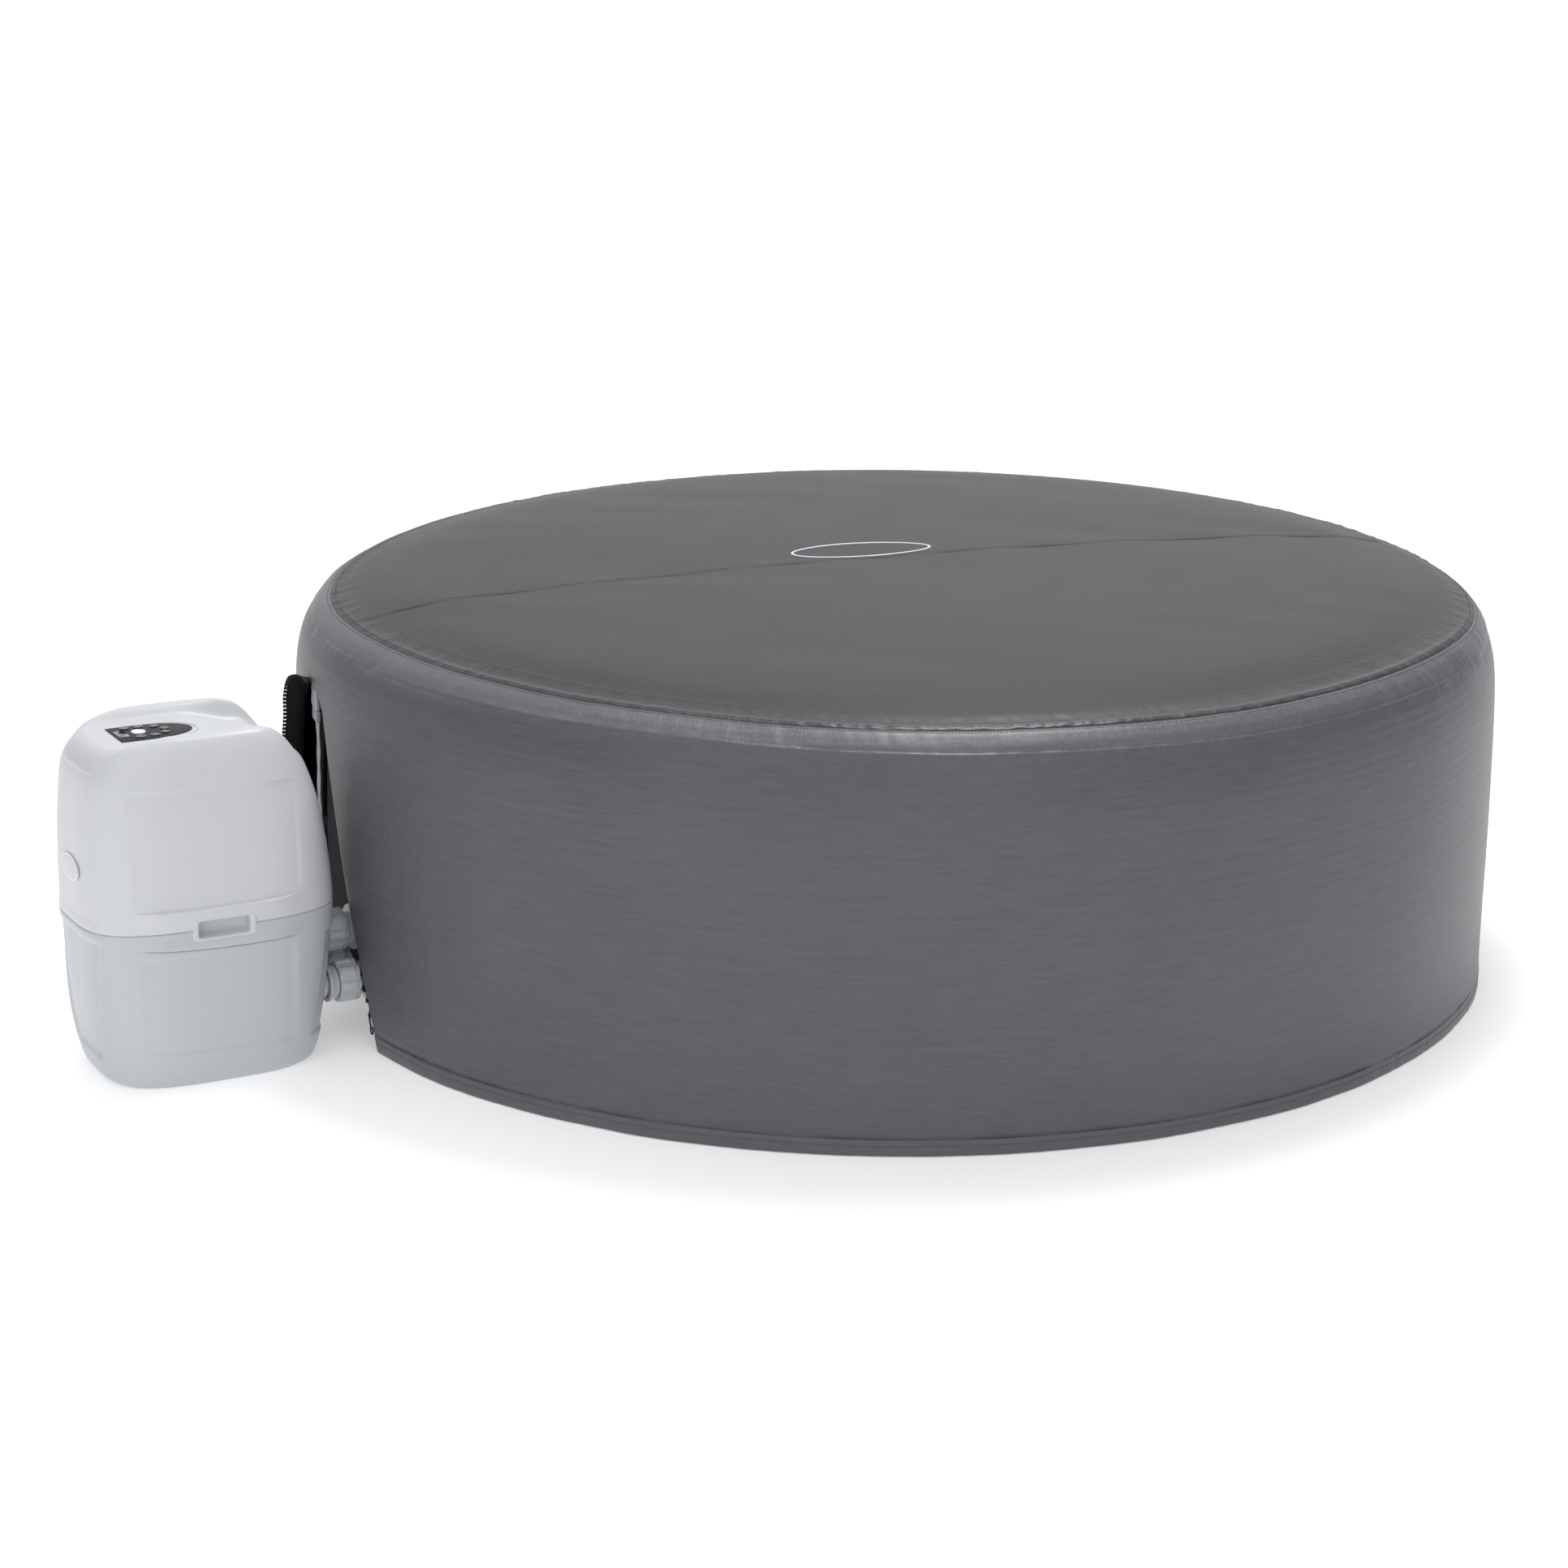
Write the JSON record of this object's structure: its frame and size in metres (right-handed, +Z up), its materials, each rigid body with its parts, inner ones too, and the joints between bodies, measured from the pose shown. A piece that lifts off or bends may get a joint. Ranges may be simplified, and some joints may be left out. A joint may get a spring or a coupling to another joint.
{
  "type": "inflatable hot tub",
  "caption": "Round inflatable hot tub with a domed full-height fabric cover, and an egg-shaped pump and heater unit joined by threaded pipe unions.",
  "frame": {"origin": "centre of the tub's underside, on the ground", "axes": "+Z up, -X from the tub towards the pump, +Y completes the right-handed frame"},
  "size_m": [2.3968, 1.96, 0.6736],
  "materials": {
    "cover_fabric": "satin coated polyester, dark grey",
    "lining": "matt black woven lining",
    "tub_skin": "reinforced laminate, dark grey",
    "liner": "smooth laminate, pale grey",
    "pump_shell": "fine-grained moulded plastic, light grey",
    "pump_base": "fine-grained moulded plastic, light grey",
    "fitting": "moulded plastic, light grey",
    "black_plastic": "moulded plastic, black",
    "panel": "glossy black overlay",
    "display": "smoked window",
    "zip": "moulded coil zip, black",
    "button_dark": "soft-touch button, black with a pale ring",
    "button_white": "gloss button, white",
    "steel": "brushed",
    "board": "circuit board, green",
    "rubber": "matt moulded rubber",
    "filter_paper": "pleated polyester",
    "webbing": "woven strap, light grey",
    "buckle": "moulded plastic, light grey",
    "print": "pale screen print"
  },
  "bodies": {
    "tub": {"tub_wall": "tub_skin", "tub_floor": "liner", "air_jet_ring": "liner", "wall_fitting_outlet": "fitting", "wall_fitting_inlet": "fitting", "wall_fitting_air": "fitting", "return_jet_nozzle": "fitting", "air_duct": "fitting", "filter_housing": "fitting", "air_valve": "fitting", "drain_valve": "fitting", "buckle_plug": "buckle", "tub_strap": "webbing"},
    "cover": {"cover_top_back": "cover_fabric", "cover_top_front": "cover_fabric", "perimeter_welt": "cover_fabric", "skirt": "cover_fabric", "hem_binding": "cover_fabric", "inflated_lid": "liner", "lid_air_plug": "fitting", "near_zip_tape": "zip", "far_zip_tape": "zip", "cover_strap": "webbing", "buckle_socket": "buckle", "oval_print": "print"},
    "zip_slider": {"zip_slider": "zip"},
    "zip_pull": {"zip_pull": "zip"},
    "pump": {"pump_upper_shell": "pump_shell", "pump_lower_shell": "pump_base", "control_panel": "panel", "display_window": "display", "grip_front": "pump_shell", "grip_back": "pump_shell", "oval_badge": "print", "port_gasket_outlet": "rubber", "port_gasket_inlet": "rubber", "pump_volute": "black_plastic", "pump_motor": "steel", "heater_tube": "steel", "air_blower": "black_plastic", "blower_motor": "steel", "control_board": "board", "cord_gland": "rubber"},
    "impeller": {"impeller": "black_plastic"},
    "blower_fan": {"blower_fan": "button_white"},
    "filter": {"filter_cartridge": "filter_paper", "filter_cap": "fitting"},
    "union_nut_outlet": {"union_nut_outlet": "fitting"},
    "union_nut_inlet": {"union_nut_inlet": "fitting"},
    "union_nut_air": {"union_nut_air": "fitting"},
    "air_valve_cap": {"air_valve_cap": "fitting"},
    "drain_cap": {"drain_cap": "fitting"},
    "jet_button": {"jet_button": "button_white"},
    "panel_button_1": {"panel_button_1": "button_dark"},
    "panel_button_2": {"panel_button_2": "button_dark"},
    "panel_button_3": {"panel_button_3": "button_dark"},
    "panel_button_4": {"panel_button_4": "button_dark"},
    "panel_button_5": {"panel_button_5": "button_dark"},
    "panel_button_6": {"panel_button_6": "button_dark"},
    "panel_button_7": {"panel_button_7": "button_dark"}
  },
  "joints": [
    {"name": "cover_lift", "type": "slide", "parent": "tub", "child": "cover", "axis": [0, 0, 1], "range_m": [0, 0.75]},
    {"name": "zip_slider_travel", "type": "slide", "parent": "cover", "child": "zip_slider", "axis": [-0.0127, 0.3387, 0.9408], "range_m": [0, 0.38]},
    {"name": "zip_pull_swing", "type": "hinge", "parent": "zip_slider", "child": "zip_pull", "pos_m": [-0.96827, -0.08127, 0.05905], "axis": [0.0046, 0.9409, -0.3387], "range_deg": [0, 110]},
    {"name": "pump_pull_off", "type": "slide", "parent": "tub", "child": "pump", "axis": [-1, 0, 0], "range_m": [0, 0.3]},
    {"name": "impeller_spin", "type": "hinge", "parent": "pump", "child": "impeller", "pos_m": [-1.165, 0.08, 0.1], "axis": [1, 0, 0], "continuous": true},
    {"name": "blower_fan_spin", "type": "hinge", "parent": "pump", "child": "blower_fan", "pos_m": [-1.205, 0, 0.3], "axis": [0, 0, 1], "continuous": true},
    {"name": "filter_pull_out", "type": "slide", "parent": "tub", "child": "filter", "axis": [1, 0, 0], "range_m": [0, 0.16]},
    {"name": "outlet_nut_turn", "type": "hinge", "parent": "tub", "child": "union_nut_outlet", "pos_m": [-0.985, -0.034, 0.1], "axis": [1, 0, 0], "continuous": true},
    {"name": "inlet_nut_turn", "type": "hinge", "parent": "tub", "child": "union_nut_inlet", "pos_m": [-0.985, 0.095, 0.1], "axis": [1, 0, 0], "continuous": true},
    {"name": "air_nut_turn", "type": "hinge", "parent": "tub", "child": "union_nut_air", "pos_m": [-0.985, 0.017, 0.168], "axis": [1, 0, 0], "continuous": true},
    {"name": "air_cap_turn", "type": "hinge", "parent": "tub", "child": "air_valve_cap", "pos_m": [-0.94073, 0.19139, 0.262], "axis": [-0.9799, 0.1994, 0], "continuous": true},
    {"name": "drain_cap_turn", "type": "hinge", "parent": "tub", "child": "drain_cap", "pos_m": [-0.64236, 0.71342, 0.17], "axis": [-0.6691, 0.7431, 0], "continuous": true},
    {"name": "jet_button_press", "type": "slide", "parent": "pump", "child": "jet_button", "axis": [0, 0, -1], "range_m": [0, 0.0008], "stiffness_N_per_m": 800, "springref_m": -0.0006},
    {"name": "panel_button_1_press", "type": "slide", "parent": "pump", "child": "panel_button_1", "axis": [0, 0, -1], "range_m": [0, 0.0008], "stiffness_N_per_m": 800, "springref_m": -0.0006},
    {"name": "panel_button_2_press", "type": "slide", "parent": "pump", "child": "panel_button_2", "axis": [0, 0, -1], "range_m": [0, 0.0008], "stiffness_N_per_m": 800, "springref_m": -0.0006},
    {"name": "panel_button_3_press", "type": "slide", "parent": "pump", "child": "panel_button_3", "axis": [0, 0, -1], "range_m": [0, 0.0008], "stiffness_N_per_m": 800, "springref_m": -0.0006},
    {"name": "panel_button_4_press", "type": "slide", "parent": "pump", "child": "panel_button_4", "axis": [0, 0, -1], "range_m": [0, 0.0008], "stiffness_N_per_m": 800, "springref_m": -0.0006},
    {"name": "panel_button_5_press", "type": "slide", "parent": "pump", "child": "panel_button_5", "axis": [0, 0, -1], "range_m": [0, 0.0008], "stiffness_N_per_m": 800, "springref_m": -0.0006},
    {"name": "panel_button_6_press", "type": "slide", "parent": "pump", "child": "panel_button_6", "axis": [0, 0, -1], "range_m": [0, 0.0008], "stiffness_N_per_m": 800, "springref_m": -0.0006},
    {"name": "panel_button_7_press", "type": "slide", "parent": "pump", "child": "panel_button_7", "axis": [0, 0, -1], "range_m": [0, 0.0008], "stiffness_N_per_m": 800, "springref_m": -0.0006}
  ]
}
